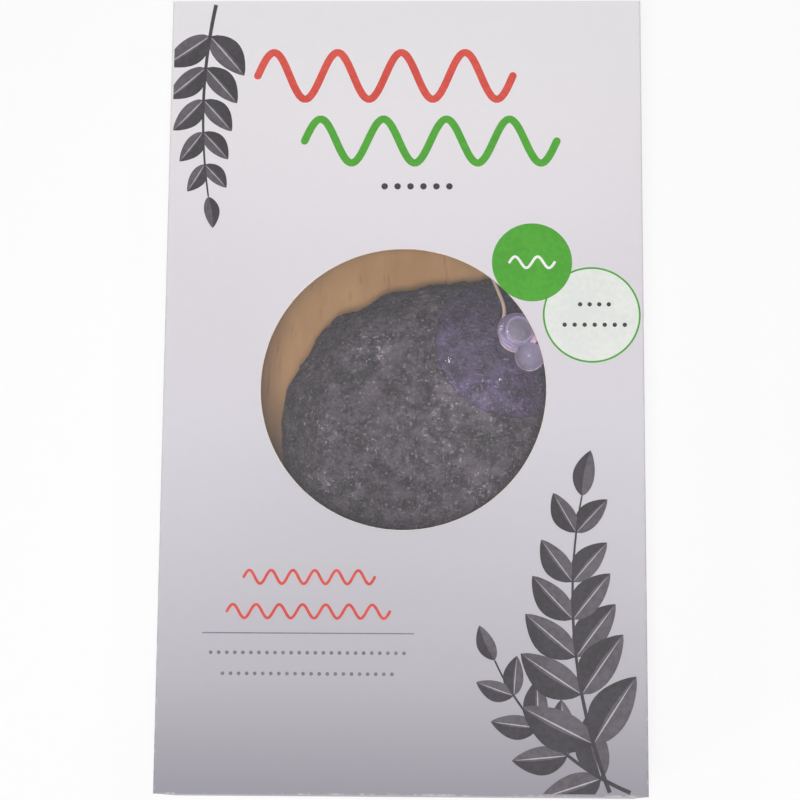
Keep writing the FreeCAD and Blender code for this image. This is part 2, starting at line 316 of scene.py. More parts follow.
def clearFilm(look):
    material, place = startFinish("clearFilm")
    streaks = grain(place, 34, 3, 0.5, (1.0, 0.4, 1.0))
    ripple = bump(grain(place, 38, 2, 0.4), 0.10, 0.6 * mm)
    # the alpha share is a pale veil over the window, in faint streaks: painted reflection of the bright room
    dress(material, {
        "Base Color": look["tint"],
        "Roughness": streaks * 0.2 + 0.25,
        "Normal": ripple,
        "Alpha": (streaks - 0.5) * look["streak"] * 2 + look["paintedReflection"],
    })
    mirror = place.node("BsdfGlossy", None, {"Color": (1, 1, 1, 1), "Roughness": 0.05, "Normal": ripple})
    facing = place.node("LayerWeight", None, {"Blend": 0.5}, out=1)
    share = facing ** 4.0 * look["grazing"] + look["gloss"]
    mixSurface(share, surfaceOf(material), mirror)
    return material


glueLook = {
    "thin": tone(206, 190, 150),
    "thick": tone(228, 216, 186),
}


def driedGlue(look):
    material, place = startFinish("driedGlue")
    streak = grain(place, 220, 4, 0.6, (1.0, 0.3, 1.0))
    return dress(material, {
        "Base Color": mixColours(smoothStep(streak, 0.35, 0.65), look["thin"], look["thick"]),
        "Roughness": streak * 0.2 + 0.3,
        "Normal": bump(streak, 0.3, 0.06 * mm),
    })


# bend is how far light bends, flow the grain of the flow marks, dull where these begin, ripple their bump
plasticLook = {
    "softVioletPlastic": {
        "tint": tone(198, 189, 216), "shadow": (0.86, 0.84, 0.93, 1.0), "clearness": 1.0, "bend": 1.22,
        "flow": 60, "dull": 0.3, "ripple": (0.06, 0.4 * mm),
    },
    "hardLilacPlastic": {
        "tint": tone(232, 222, 248), "shadow": (0.88, 0.85, 0.92, 1.0), "clearness": 0.90, "bend": 1.42,
        "flow": 160, "dull": 0.5, "ripple": (0.10, 0.3 * mm),
    },
}
plasticLook["thickLilacPlastic"] = {**plasticLook["hardLilacPlastic"], "clearness": 0.74}


def clearPlastic(name):
    look = plasticLook[name]
    material, place = startFinish(name)
    flow = grain(place, look["flow"], 2, 0.4)
    dress(material, {
        "Base Color": look["tint"],
        "Roughness": smoothStep(flow, look["dull"], 0.8) * 0.05 + 0.02,
        "Normal": bump(flow, *look["ripple"]),
        "Transmission Weight": look["clearness"],
        "IOR": look["bend"],
    })
    letLampsThrough(material, look["shadow"])
    return material


spongeLook = {
    # the pores are drawn dark where the bump sinks: painted shade in the hollows
    "poreShade": tone(32, 28, 31),
    "skin": tone(94, 86, 94),
    # pale crust in patches, lighter on the raised grit: partly the sponge's own crust, partly painted light on the
    # raised grit
    "crustAndPaintedLight": tone(136, 125, 136),
    "crustAndPaintedLightShare": 0.62,
    # pale specks painted into the colour: painted glints
    "paintedGlint": tone(220, 212, 222),
    "paintedGlintShare": 0.48,
    "grit": 300,
    "crumbs": 1300,
    "patches": 85,
    "fibres": [(1600, (1.0, 0.6, 1.0)), (1450, (0.6, 1.0, 1.0))],
}


def charcoalSponge(look):
    material, place = startFinish("charcoalSponge")
    grit = grain(place, look["grit"], 5, 0.66)
    crumbs = grain(place, look["crumbs"], 2, 0.6)
    patches = grain(place, look["patches"], 4, 0.6)
    # painted shade: the colour goes dark in the hollows that the grit's bump sinks
    colour = mixColours(smoothStep(grit * 0.7 + crumbs * 0.3, 0.36, 0.64), look["poreShade"], look["skin"])
    crust = smoothStep(patches, 0.46, 0.64)
    # within the crust patches the raised grit is drawn paler: painted light on the raised grit
    colour = mixColours(crust * smoothStep(grit, 0.42, 0.68) * look["crustAndPaintedLightShare"], colour, look["crustAndPaintedLight"])
    upright, level = [grain(place, scale, 1, 0.4, stretch) for scale, stretch in look["fibres"]]
    # glints: pale specks painted into the colour as painted highlights, where the skin is also smoother and its
    # bump raised
    glints = smoothStep(upright.maths("MAXIMUM", level), 0.63, 0.76) * (crust * 0.58 + 0.42)
    return dress(material, {
        "Base Color": mixColours(glints * look["paintedGlintShare"], colour, look["paintedGlint"]),
        "Roughness": 0.72 - glints * 0.35,
        "Normal": bump(grit + crumbs * 0.5 + glints * 0.3, 0.8, 0.6 * mm),
        "Specular IOR Level": 0.3,
    })


cottonLook = {
    "shade": tone(206, 175, 154),
    "light": tone(238, 209, 188),
    "sheen": 0.25,
}


def cottonCord(look):
    material, place = startFinish("cottonCord")
    fluff = grain(place, 2600, 3, 0.6)
    shade = grain(place, 420, 3, 0.55)
    return dress(material, {
        "Base Color": mixColours(smoothStep(shade * 0.5 + fluff * 0.5, 0.35, 0.65), look["shade"], look["light"]),
        "Roughness": fluff * 0.1 + 0.82,
        "Normal": bump(fluff, 0.5, 0.1 * mm),
        "Sheen Weight": look["sheen"],
        "Specular IOR Level": 0.15,
    })


filmFinish, glueFinish = clearFilm(filmLook), driedGlue(glueLook)
cupFinish, hookFinish, headFinish = [clearPlastic(name) for name in plasticLook]
spongeFinish, cottonFinish = charcoalSponge(spongeLook), cottonCord(cottonLook)
print("film, plastic, sponge and cotton finishes made")


def keepPiece(shape, name, finishes, body=None, replaced=(), sharp=32):
    mesh = shape
    if isinstance(shape, bmesh.types.BMesh):
        mesh = bpy.data.meshes.new(name)
        shape.to_mesh(mesh)
        shape.free()
    mesh.name = name
    for finish in finishes:
        mesh.materials.append(finish)
    mesh.polygons.foreach_set("use_smooth", [True] * len(mesh.polygons))
    mesh.set_sharp_from_angle(angle=math.radians(sharp))
    mesh.update()
    piece = bpy.data.objects.new(name, mesh)
    scene.collection.objects.link(piece)
    if body:
        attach(piece, body)
    if replaced:
        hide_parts(*replaced)
    return piece


# Hanging cord and its knot: three twisted strands along the route
cordSet = {
    "route": [
        (0.0291, 0.0195, 0.0059), (0.0344, 0.0254, 0.0050), (0.0370, 0.0330, 0.0018),
        (0.0380, 0.0420, 0.0012), (0.0335, 0.0500, 0.0013), (0.0250, 0.0515, 0.0012),
        (0.0186, 0.0460, 0.0013), (0.0176, 0.0385, 0.0035), (0.0186, 0.0338, 0.0135),
        (0.0199, 0.0301, 0.0238), (0.0216, 0.0252, 0.0276), (0.0233, 0.0200, 0.0299),
        (0.0217, 0.0151, 0.0322), (0.0222, 0.0117, 0.0329), (0.0248, 0.0099, 0.0327),
        (0.0280, 0.0105, 0.0317), (0.0296, 0.0133, 0.0307), (0.0311, 0.0176, 0.0287),
        (0.0337, 0.0230, 0.0242), (0.0360, 0.0272, 0.0174), (0.0357, 0.0276, 0.0095),
        (0.0359, 0.0296, 0.0048),
    ],
    "routeSteps": 20,
    "diameter": 0.85 * mm,
    "length": 143 * mm,
    "strands": 3,
    "strandShare": 0.52,    # of the cord's radius
    "lay": 2.4 * mm,        # length of one full twist
    "knotPlace": (0.0358, 0.02935, 0.0041),
    "knotWraps": 3,
    "knotRadius": 0.80 * mm,    # to the middle of a wrap
    "knotPitch": 0.74 * mm,
    "knotPoints": 12,       # in one wrap
    "knotSlack": 1.04,      # sets them further out, because the spline runs inside them
    "knotSteps": 6,
}


def addSpline(data, kind, points):
    data.dimensions = "3D"
    spline = data.splines.new(kind)
    spline.points.add(len(points) - 1)
    for point, place in zip(spline.points, points):
        point.co = (*place, 1.0)
    return spline


def curveMesh(data):
    holder = bpy.data.objects.new(data.name, data)
    mesh = bpy.data.meshes.new_from_object(holder)
    bpy.data.objects.remove(holder)
    return mesh


def readRoute(points, steps):   # points along the smooth spline that a route's points control
    data = bpy.data.curves.new("route", "CURVE")
    spline = addSpline(data, "NURBS", points)
    spline.order_u = 3
    spline.use_endpoint_u = True
    spline.resolution_u = steps
    return [vert.co.copy() for vert in curveMesh(data).vertices]


def twistStrands(name, node, line, spec):
    radius = spec["diameter"] / 2
    thick = radius * spec["strandShare"]
    data = bpy.data.curves.new(name, "CURVE")
    data.bevel_depth = thick
    data.bevel_resolution = 2
    data.use_fill_caps = True
    side = (line[1] - line[0]).orthogonal().normalized()
    frames = []
    run = 0.0
    for i, point in enumerate(line):
        ahead = (line[min(i + 1, len(line) - 1)] - line[max(i - 1, 0)]).normalized()
        side = (side - ahead * side.dot(ahead)).normalized()
        run += (point - line[i - 1]).length if i else 0.0
        frames.append((point, side.copy(), ahead.cross(side), run))
    for k in range(spec["strands"]):
        strand = []
        for middle, first, second, along in frames:
            turn = 2 * math.pi * (k / spec["strands"] + along / spec["lay"])
            out = first * math.cos(turn) + second * math.sin(turn)
            strand.append(middle + out * (radius - thick))
        addSpline(data, "POLY", strand)
    return keepPiece(curveMesh(data), name, [cottonFinish], "sponge", [node], 60)


def coilRoute(spec):    # wraps round the cord's first run and its own end
    heading = (Vector(spec["route"][2]) - Vector(spec["route"][1])).normalized()
    first = heading.orthogonal().normalized()
    second = heading.cross(first)
    points = []
    for i in range(spec["knotWraps"] * spec["knotPoints"] + 1):
        wraps = i / spec["knotPoints"]
        out = first * math.cos(2 * math.pi * wraps) + second * math.sin(2 * math.pi * wraps)
        lift = spec["knotPitch"] * (wraps - spec["knotWraps"] / 2)
        points.append(Vector(spec["knotPlace"]) + out * spec["knotRadius"] * spec["knotSlack"] + heading * lift)
    return points


cordLine = readRoute(cordSet["route"], cordSet["routeSteps"])
knotLine = readRoute(coilRoute(cordSet), cordSet["knotSteps"])
cord = twistStrands("hanging_cord_strands", "hanging_cord", cordLine, cordSet)
knot = twistStrands("cord_knot_wraps", "cord_knot", knotLine, cordSet)
cordRun = sum((b - a).length for a, b in zip(cordLine, cordLine[1:]))
print("cord made, line", round(cordRun / mm, 1), "mm")


# Carton board: plates between the creases, and round strips over the folding creases
cartonSet = {
    "board": 0.5 * mm,
    "sideIn": 53.5 * mm,        # inner face of a side panel
    "endIn": 90.0 * mm,         # inner face of a closed lid
    "dustAxis": 89.2 * mm,      # fold of a dust flap
    "tuckAxis": depth - 1.3 * mm,   # fold of a tuck flap
    "lidHalf": 53.6 * mm,
    "tuckHalf": 52.7 * mm,
    "tuckTipHalf": 50.2 * mm,
    "tuckDepth": 13.0 * mm,
    "tuckCorner": 6.0 * mm,
    "tuckLean": 19.0,           # degrees
    "dustLow": 2.5 * mm,
    "dustHigh": depth - 7.0 * mm,
    "dustLength": 35.0 * mm,
    "dustTaper": 5.0 * mm,
    "dustCorner": 3.0 * mm,
    "windowRadius": 32.0 * mm,
    "windowY": -0.4 * mm,
    "rimSteps": 160,
    "edgeRound": 0.17 * mm,
    "creaseSteps": 8,
}
board, sideIn, endIn = cartonSet["board"], cartonSet["sideIn"], cartonSet["endIn"]
frontIn = depth - board


def thicken(bm, step):      # walls and a second skin, one step away from the first
    lifted = bmesh.ops.extrude_face_region(bm, geom=bm.faces[:])
    bmesh.ops.translate(bm, vec=step, verts=[v for v in lifted["geom"] if isinstance(v, bmesh.types.BMVert)])
    bmesh.ops.recalc_face_normals(bm, faces=bm.faces[:])


def roundOff(bm, geom, offset, affect, segments, clamp=False):
    bmesh.ops.bevel(bm, geom=geom, offset=offset, affect=affect, segments=segments, profile=0.5, material=-1,
                    clamp_overlap=clamp)


def roundCorners(bm, corners, radius, segments):    # a cut of 0.6 of the radius gives about that curve
    roundOff(bm, corners, radius * 0.6, "VERTICES", segments)


def paintBoard(bm, printed=0.05):      # print on the +Z side, kraft below, bare core on the cut edges
    bm.normal_update()
    for face in bm.faces:
        facing = face.normal.z
        face.material_index = 0 if facing > printed else 1 if facing < -0.8 else 2


def oblong(half, low, high):
    return [(-half, low), (half, low), (half, high), (-half, high)]


def boardPlate(name, corners, rounds, place, body, node, folds=()):
    # corners lie in the plate's own plane, and the print is on its +Z side
    bm = bmesh.new()
    ring = [bm.verts.new((x, y, 0)) for x, y in corners]
    bm.faces.new(ring)
    for i, radius in rounds.items():
        roundCorners(bm, [ring[i]], radius, 8)
    thicken(bm, (0, 0, board))
    for axis, level in folds:       # outer edges that turn into the next panel
        turned = [e for e in bm.edges
                  if all(abs(v.co[axis] - level) < 1e-7 and v.co.z > board / 2 for v in e.verts)]
        roundOff(bm, turned, board * 0.999, "EDGES", 6)
    paintBoard(bm)
    bmesh.ops.transform(bm, matrix=place, verts=bm.verts[:])
    bmesh.ops.recalc_face_normals(bm, faces=bm.faces[:])
    keepPiece(bm, name, boardFinishes, body, [node])


def plateFrame(origin, across, along):  # a frame whose Z is the printed side
    across, along = Vector(across), Vector(along)
    turn = Matrix((across, along, across.cross(along))).transposed().to_4x4()
    return Matrix.Translation(origin) @ turn


def frontPanel(spec):
    bm = bmesh.new()
    rim = bmesh.ops.create_circle(bm, segments=spec["rimSteps"], radius=spec["windowRadius"])
    bmesh.ops.translate(bm, vec=(0, spec["windowY"], 0), verts=rim["verts"])
    rimEdges = bm.edges[:]
    ring = [bm.verts.new((x, y, 0)) for x, y in oblong(sideIn, -endIn - board, endIn + board)]
    border = [bm.edges.new((ring[i - 1], ring[i])) for i in range(4)]
    bmesh.ops.subdivide_edges(bm, edges=border, cuts=spec["rimSteps"] // 4 - 1)
    border = [e for e in bm.edges if e not in rimEdges]
    bmesh.ops.bridge_loops(bm, edges=rimEdges + border)
    thicken(bm, (0, 0, board))
    middle, inner = Vector((0, spec["windowY"])), spec["windowRadius"] + 0.1 * mm
    cuts = [e for e in bm.edges if len({round(v.co.z, 6) for v in e.verts}) == 1
            and all((v.co.xy - middle).length < inner for v in e.verts)]
    roundOff(bm, cuts, spec["edgeRound"], "EDGES", 2, clamp=True)
    paintBoard(bm, 0.97)
    bmesh.ops.translate(bm, vec=(0, 0, frontIn), verts=bm.verts[:])
    keepPiece(bm, "front_panel_board", boardFinishes, "carton", ["front_panel"])


def stripShape(middle, start, turn, axis, low, high):
    # the board's outer skin round a crease: a sector about the fold, from one plate's outside to the other's
    axis = Vector(axis)
    begin = Vector(middle) + axis * low
    bm = bmesh.new()
    line = [bm.verts.new(begin), bm.verts.new(begin + Vector(start) * board)]
    edge = bm.edges.new(line)
    bmesh.ops.spin(bm, geom=[edge] + line, cent=begin, axis=axis, angle=turn, steps=cartonSet["creaseSteps"],
                   use_merge=False)
    bmesh.ops.remove_doubles(bm, verts=bm.verts[:], dist=1e-8)
    thicken(bm, axis * (high - low))
    return bm


def roundStrip(name, middle, start, turn, axis, low, high):
    shape = stripShape(middle, start, turn, axis, low, high)
    strip = keepPiece(shape, name, boardFinishes[:1], None)
    middle, start = Vector(middle), Vector(start)
    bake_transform(strip)


def cartonEnd(spec, end, label):    # a lid with its tuck flap, and two dust flaps
    half, tip, tuckDepth = spec["tuckHalf"], spec["tuckTipHalf"], spec["tuckDepth"]
    lidHalf, tuckAxis, dustAxis = spec["lidHalf"], spec["tuckAxis"], spec["dustAxis"]
    lean = math.radians(spec["tuckLean"])
    lid, tuck = label + "_lid", label + "_tuck"
    boardPlate(lid + "_board", oblong(lidHalf, board, tuckAxis), {},
               plateFrame((0, end * endIn, 0), (-end, 0, 0), (0, 0, 1)), lid, lid)
    boardPlate(tuck + "_board", [(-half, 0), (-tip, -tuckDepth), (tip, -tuckDepth), (half, 0)],
               {1: spec["tuckCorner"], 2: spec["tuckCorner"]},
               plateFrame((0, end * endIn, tuckAxis), (end, 0, 0), (0, end * math.cos(lean), math.sin(lean))),
               tuck, tuck + "_flap")
    roundStrip(lid + "_crease", (0, end * endIn, board), (0, 0, -1), end * math.pi / 2, (1, 0, 0),
               -lidHalf, lidHalf)
    roundStrip(tuck + "_crease", (0, end * endIn, tuckAxis), (0, end, 0), end * (math.pi / 2 + lean), (1, 0, 0),
               -half, half)
    low, high, length = spec["dustLow"], spec["dustHigh"], spec["dustLength"]
    for side, name in ((-1, label + "_left"), (1, label + "_right")):
        hand = side * end
        dust = name + "_dust"
        corners = [(0, low), (length, low), (length, high - spec["dustTaper"]), (0, high)]
        if hand < 0:
            corners = [(-x, y) for x, y in corners]
        boardPlate(dust + "_board", corners, {1: spec["dustCorner"], 2: spec["dustCorner"]},
                   plateFrame((side * sideIn, end * dustAxis, 0), (-end, 0, 0), (0, 0, 1)), dust, dust + "_flap")
        roundStrip(dust + "_crease", (side * sideIn, end * dustAxis, 0), (side, 0, 0), hand * math.pi / 2,
                   (0, 0, 1), low, high)
        # the front's long edge runs on past the side panel to the carton's end
        stop = sorted((end * dustAxis, end * (endIn + board)))
        corner = stripShape((side * sideIn, 0, frontIn), (0, 0, 1), side * math.pi / 2, (0, 1, 0), *stop)
        keepPiece(corner, name + "_corner", boardFinishes[:1], "carton")


frontPanel(cartonSet)
boardPlate("back_panel_board", oblong(sideIn, -endIn, endIn), {},
           plateFrame((0, 0, board), (-1, 0, 0), (0, 1, 0)), "carton", "back_panel")
for side, label in ((-1, "left"), (1, "right")):
    boardPlate(label + "_side_board", oblong(cartonSet["dustAxis"], 0, depth), {},
               plateFrame((side * sideIn, 0, 0), (0, side, 0), (0, 0, 1)), "carton", label + "_side_panel",
               folds=[(1, 0.0), (1, depth)])
cartonEnd(cartonSet, 1, "top")
cartonEnd(cartonSet, -1, "bottom")
for name, finish in (("glue_flap", boardFinishes[1]), ("seam_glue", glueFinish), ("window_glue", glueFinish)):
    materials = frame["nodes"][name].data.materials
    materials.clear()
    materials.append(finish)
print("carton board, creases and glue made")


# Window film: a thin sheet, faintly rippled between its glued edges
filmSet = {
    "half": 41.0 * mm,
    "corner": 2.0 * mm,
    "steps": 48,
    "top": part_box("window_film")[1][2],
    "thick": 0.15 * mm,
    "ripple": 0.03 * mm,
    "rippleGrain": 40,
}


def windowFilm(spec):
    bm = bmesh.new()
    bmesh.ops.create_grid(bm, x_segments=spec["steps"], y_segments=spec["steps"], size=spec["half"])
    for vert in bm.verts:
        free = max(0.0, 1 - (vert.co.xy.length / cartonSet["windowRadius"]) ** 2)
        vert.co.z = (noise.noise(vert.co * spec["rippleGrain"]) - 1) * spec["ripple"] * min(1.0, free * 3)
    roundCorners(bm, [v for v in bm.verts if len(v.link_edges) == 2], spec["corner"], 4)
    thicken(bm, (0, 0, -spec["thick"]))
    bmesh.ops.translate(bm, vec=(0, cartonSet["windowY"], spec["top"]), verts=bm.verts[:])
    keepPiece(bm, "window_film_sheet", [filmFinish], "carton", ["window_film"], 60)


windowFilm(filmSet)
print("window film made")


# The suction cup's own frame: the middle of its rim, with Z along the axis that it turns on
cupJoint = next(joint for joint in frame["joints"] if joint["name"] == "cup_swivel")
cupMiddle, cupAxis = Vector(cupJoint["pos_m"]), Vector(cupJoint["axis"]).normalized()
cupTurn = Vector((0, 0, 1)).rotation_difference(cupAxis).to_matrix().to_4x4()
cupFrame = Matrix.Translation(cupMiddle) @ cupTurn


# Sponge: a half ball, lumpy and crusted
spongeSet = {
    "middle": (7.0 * mm, -5.0 * mm),
    "base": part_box("sponge")[0][2],
    "top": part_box("sponge")[1][2],
    "radius": 37.0 * mm,
    "crownRadius": 60.0 * mm,
    "crownReach": 24.0 * mm,
    "edge": 4.0 * mm,
    "fineness": 7,
    "fineAbove": 11 * mm,   # the skin behind the window has smaller faces
    "fineWithin": 34 * mm,
    "outline": [        # how far the rim swells or draws in, in mm, by the angle round it in degrees
        (0, 0.3), (30, 1.5), (48, 3.6), (62, 3.9), (70, 3.2), (79, 1.2), (86, -0.4), (93, -0.9), (101, -1.9),
        (111, -0.7), (121, -1.6), (131, -0.2), (141, 0.25), (152, -0.5), (165, 0.1), (188, 0.5), (215, 0.2),
        (250, 0.4), (290, -0.2), (330, 0.3), (360, 0.3),
    ],
    "foot": 6 * mm,         # height over which the flat back turns lumpy
    "sink": 0.3 * mm,       # draws the skin in, to make up for its lumps
    "lumpSize": 13 * mm,
    "lump": 0.70 * mm,
    "foldSize": 3.4 * mm,
    "fold": 0.30 * mm,
    "crumbSize": 1.3 * mm,
    "crumb": 0.30 * mm,
    "gritSize": 0.65 * mm,
    "grit": 0.13 * mm,
    "cupRoom": 21 * mm,     # the dome is calmer under the cup
}


def arcLine(middle, radius, first, last, count):    # part of a circle in a profile, by angles from straight up
    turns = [first + (last - first) * i / count for i in range(count + 1)]
    return [(middle[0] + radius * math.sin(turn), middle[1] + radius * math.cos(turn)) for turn in turns]


def spongeProfile(spec):    # points down the outline, from the top to the middle of the flat back
    crown, radius, edge = spec["crownRadius"], spec["radius"], spec["edge"]
    crownZ = spec["top"] - crown
    slope = math.asin(spec["crownReach"] / crown)
    shoulder = (radius - spec["crownReach"]) / (1 - math.sin(slope))
    line = arcLine((0.0, crownZ), crown, 0.0, slope, 40)[:-1]
    hub = (radius - shoulder, crownZ + (crown - shoulder) * math.cos(slope))
    line += arcLine(hub, shoulder, slope, math.pi / 2, 40)
    line += arcLine((radius - edge, spec["base"] + edge), edge, math.pi / 2, math.pi, 12)
    return line + [(0.0, spec["base"])]


def rimSwell(outline, angle):
    for (start, first), (stop, second) in zip(outline, outline[1:]):
        if angle <= stop:
            share = (angle - start) / (stop - start)
            return (first + (second - first) * share * share * (3 - 2 * share)) * mm
    return 0.0


def spongeBall(spec):       # an even ball of points, laid onto the outline
    line = spongeProfile(spec)
    areas = [0.0]
    for (r0, z0), (r1, z1) in zip(line, line[1:]):
        areas.append(areas[-1] + (r0 + r1) * math.hypot(r1 - r0, z1 - z0))
    bm = bmesh.new()
    bmesh.ops.create_icosphere(bm, subdivisions=spec["fineness"], radius=1.0)
    place = 0
    for vert in sorted(bm.verts, key=lambda v: -v.co.z):
        wanted = (1 - vert.co.z) / 2 * areas[-1]
        while place < len(areas) - 2 and areas[place + 1] < wanted:
            place += 1
        share = (wanted - areas[place]) / (areas[place + 1] - areas[place])
        radius = line[place][0] * (1 - share) + line[place + 1][0] * share
        height = line[place][1] * (1 - share) + line[place + 1][1] * share
        flat = vert.co.xy.length or 1.0
        vert.co = (vert.co.x / flat * radius, vert.co.y / flat * radius, height)
    bmesh.ops.translate(bm, vec=(*spec["middle"], 0), verts=bm.verts[:])
    shown = []
    for face in bm.faces:
        centre = face.calc_center_median()
        if centre.z > spec["fineAbove"] and centre.xy.length < spec["fineWithin"]:
            shown.append(face)
    bmesh.ops.subdivide_edges(bm, edges=list({e for f in shown for e in f.edges}), cuts=1)
    bm.normal_update()
    return bm


def clamped(share):
    return min(1.0, max(0.0, share))


def spongeBody(spec):
    bm = spongeBall(spec)
    room = spec["cupRoom"]
    moves = []
    for vert in bm.verts:
        point = vert.co
        upness = clamped((point.z - spec["base"]) / spec["foot"])
        angle = math.degrees(math.atan2(point.y - spec["middle"][1], point.x - spec["middle"][0]))
        rim = rimSwell(spec["outline"], angle % 360)
        steep = min(1.0, 1.25 * (1 - abs(vert.normal.z)))
        calm = clamped(((point - cupMiddle).length - 0.8 * room) / (0.3 * room))
        lump = noise.fractal(point / spec["lumpSize"], 1.0, 2.0, 3) * spec["lump"]
        fold = -abs(noise.noise(point / spec["foldSize"] + Vector((7, 3, 1)))) * 2 * spec["fold"]
        crumb = noise.fractal(point / spec["crumbSize"], 0.8, 2.1, 2) * spec["crumb"]
        crumb += noise.noise(point / spec["gritSize"] + Vector((2, 9, 4))) * spec["grit"]
        total = rim * steep + (lump - spec["sink"] + fold) * (0.3 + 0.7 * calm) + crumb * (0.5 + 0.5 * calm)
        moves.append(vert.normal * total * upness)
    for vert, move in zip(bm.verts, moves):
        vert.co += move
    return keepPiece(bm, "sponge_body", [spongeFinish], "sponge", ["sponge"], 180)


spongeBody(spongeSet)
print("sponge made")


# Suction cup with its neck and head, turned in its own frame
cupSet = {
    "radius": 17.5 * mm,
    "lip": 0.7 * mm,
    "hollow": 4.6 * mm,
    "crown": 5.8 * mm,
    "crownRadius": 4.6 * mm,
    "bend": (12.6 * mm, 3.2 * mm),
    "neck": 2.6 * mm,
    "headBase": 9.95 * mm,
    "headTop": 11.85 * mm,
    "headRadius": 3.25 * mm,
    "headCrown": 1.0 * mm,
    "steps": 96,
}


def arcPoints(first, middle, last, count):     # along the circle through three points
    (ax, ay), (bx, by), (cx, cy) = first, middle, last
    a, b, c = ax * ax + ay * ay, bx * bx + by * by, cx * cx + cy * cy
    d = 2 * (ax * (by - cy) + bx * (cy - ay) + cx * (ay - by))
    ux = (a * (by - cy) + b * (cy - ay) + c * (ay - by)) / d
    uy = (a * (cx - bx) + b * (ax - cx) + c * (bx - ax)) / d
    start, stop = math.atan2(ax - ux, ay - uy), math.atan2(cx - ux, cy - uy)
    turn = (stop - start + math.pi) % (2 * math.pi) - math.pi
    return arcLine((ux, uy), math.hypot(ax - ux, ay - uy), start, start + turn, count)


def capPoints(radius, base, rise, count):      # a shallow dome, from its rim to the axis
    ball = (radius ** 2 + rise ** 2) / (2 * rise)
    return arcLine((0.0, base + rise - ball), ball, math.asin(radius / ball), 0.0, count)


def spinProfile(profile, steps):
    bm = bmesh.new()
    verts = [bm.verts.new((r, 0, z)) for r, z in profile]
    edges = [bm.edges.new(pair) for pair in zip(verts, verts[1:])]
    bmesh.ops.spin(bm, geom=verts + edges, cent=(0, 0, 0), axis=(0, 0, 1), angle=2 * math.pi, steps=steps,
                   use_merge=True)
    bmesh.ops.remove_doubles(bm, verts=bm.verts[:], dist=1e-7)
    bmesh.ops.recalc_face_normals(bm, faces=bm.faces[:])
    return bm


def suctionCup(spec):
    rim, lip, crown, shoulder = spec["radius"], spec["lip"], spec["crown"], spec["crownRadius"]
    neck, head, base = spec["neck"], spec["headRadius"], spec["headBase"]
    profile = list(reversed(capPoints(rim - lip, 0.0, spec["hollow"], 20)))
    profile += [(rim - lip * 0.75, -0.06 * mm), (rim - lip * 0.3, -0.02 * mm), (rim, 0.16 * mm)]
    profile += arcPoints((rim, 0.3 * mm), spec["bend"], (shoulder, crown - 0.25 * mm), 24)[1:]
    profile += [(shoulder - 0.12 * mm, crown - 0.06 * mm), (shoulder - 0.4 * mm, crown)]
    profile += [(neck + 0.35 * mm, crown), (neck + 0.1 * mm, crown + 0.1 * mm), (neck, crown + 0.35 * mm)]
    profile += [(neck, base), (head - 0.25 * mm, base), (head - 0.06 * mm, base + 0.07 * mm)]
    profile += [(head, base + 0.25 * mm)]
    profile += capPoints(head, spec["headTop"] - spec["headCrown"], spec["headCrown"], 10)
    bm = spinProfile(profile, spec["steps"])
    for face in bm.faces:       # the thick neck and head look as hard as the hook
        face.material_index = 1 if face.calc_center_median().z > crown + 0.2 * mm else 0
    bmesh.ops.transform(bm, matrix=cupFrame, verts=bm.verts[:])
    keepPiece(bm, "suction_cup_clear", [cupFinish, headFinish], "cup", ["suction_cup"], 40)


suctionCup(cupSet)


# Hook: a rounded collar, an arm and a ball tip, melted into one moulding
hookSet = {
    "bore": 2.75 * mm,
    "outer": 4.95 * mm,
    "low": 8.0 * mm,
    "high": 9.8 * mm,
    "softEdge": 0.85 * mm,
    "steps": 72,
    "armRadius": 0.9 * mm,
    "reach": 7.2 * mm,
    "tipRadius": 3.4 * mm,
    "tipHeight": 11.0 * mm,
    "heading": -75.0,       # degrees
    "voxel": 0.13 * mm,
    "soften": 3,
}


def meltTogether(bm, voxel):    # one closed skin round all the shapes
    rough = bpy.data.meshes.new("hookRough")
    bm.to_mesh(rough)
    bm.free()
    holder = bpy.data.objects.new("hookRough", rough)
    scene.collection.objects.link(holder)
    melt = holder.modifiers.new("melt", "REMESH")
    melt.mode = "VOXEL"
    melt.voxel_size = voxel
    bpy.context.view_layer.update()
    mesh = bpy.data.meshes.new_from_object(holder.evaluated_get(bpy.context.evaluated_depsgraph_get()))
    bpy.data.objects.remove(holder)
    bm = bmesh.new()
    bm.from_mesh(mesh)
    return bm


def suctionHook(spec):
    bore, outer, low, high, soft = [spec[name] for name in ("bore", "outer", "low", "high", "softEdge")]
    ring = [(bore, low), (outer - soft, low), (outer - soft * 0.3, low + soft * 0.3), (outer, low + soft),
            (outer, high - soft), (outer - soft * 0.3, high - soft * 0.3), (outer - soft, high), (bore, high),
            (bore, low)]
    bm = spinProfile(ring, spec["steps"])
    start = Vector(((bore + outer) / 2, 0, (low + high) / 2))
    tip = Vector((spec["reach"], 0, spec["tipHeight"]))
    reach = tip - start
    turn = Vector((0, 0, 1)).rotation_difference(reach).to_matrix().to_4x4()
    bmesh.ops.create_cone(bm, cap_ends=True, segments=32, radius1=spec["armRadius"],
                          radius2=spec["tipRadius"] * 0.9, depth=reach.length,
                          matrix=Matrix.Translation(start + reach / 2) @ turn)
    bmesh.ops.create_uvsphere(bm, u_segments=48, v_segments=32, radius=spec["tipRadius"],
                              matrix=Matrix.Translation(tip))
    bm = meltTogether(bm, spec["voxel"])
    for _ in range(spec["soften"]):
        bmesh.ops.smooth_vert(bm, verts=bm.verts[:], factor=0.5, use_axis_x=True, use_axis_y=True, use_axis_z=True)
    aim = Matrix.Rotation(math.radians(spec["heading"]), 4, "Z")
    bmesh.ops.transform(bm, matrix=cupFrame @ aim, verts=bm.verts[:])
    keepPiece(bm, "suction_hook_clear", [hookFinish], "hook", ["suction_hook"], 180)


suctionHook(hookSet)
print("suction cup and hook made")


